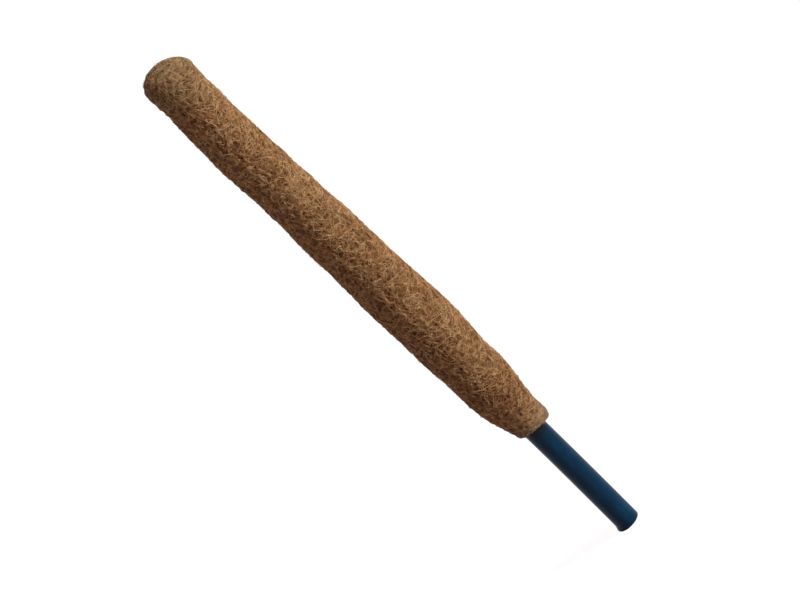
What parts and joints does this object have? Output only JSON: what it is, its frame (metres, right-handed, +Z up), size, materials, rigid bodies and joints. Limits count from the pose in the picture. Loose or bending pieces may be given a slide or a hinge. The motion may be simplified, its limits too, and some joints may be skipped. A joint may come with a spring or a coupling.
{
  "type": "moss pole",
  "caption": "Round coir moss pole for climbing plants: coconut-fibre felt wrapped and tied on a rigid plastic pipe, whose bare lower end is pushed into the soil as a stake.",
  "frame": {"origin": "on the pole's axis at soil level, where the coir begins and the bare stake ends", "axes": "+Z up along the pole; the stake points to -Z; +Y is the side with the outer felt's butt seam"},
  "size_m": [0.0528, 0.0528, 0.61],
  "materials": {
    "pipe_plastic": "satin",
    "coir": "matte",
    "twine": "matte"
  },
  "bodies": {
    "root": {"core_pipe": "pipe_plastic", "inner_coir_wrap": "coir", "outer_coir_wrap": "coir", "top_coir_pad": "coir", "neck_tie": "twine", "binding_tie_1": "twine", "binding_tie_2": "twine", "binding_tie_3": "twine", "binding_tie_4": "twine"}
  },
  "joints": []
}
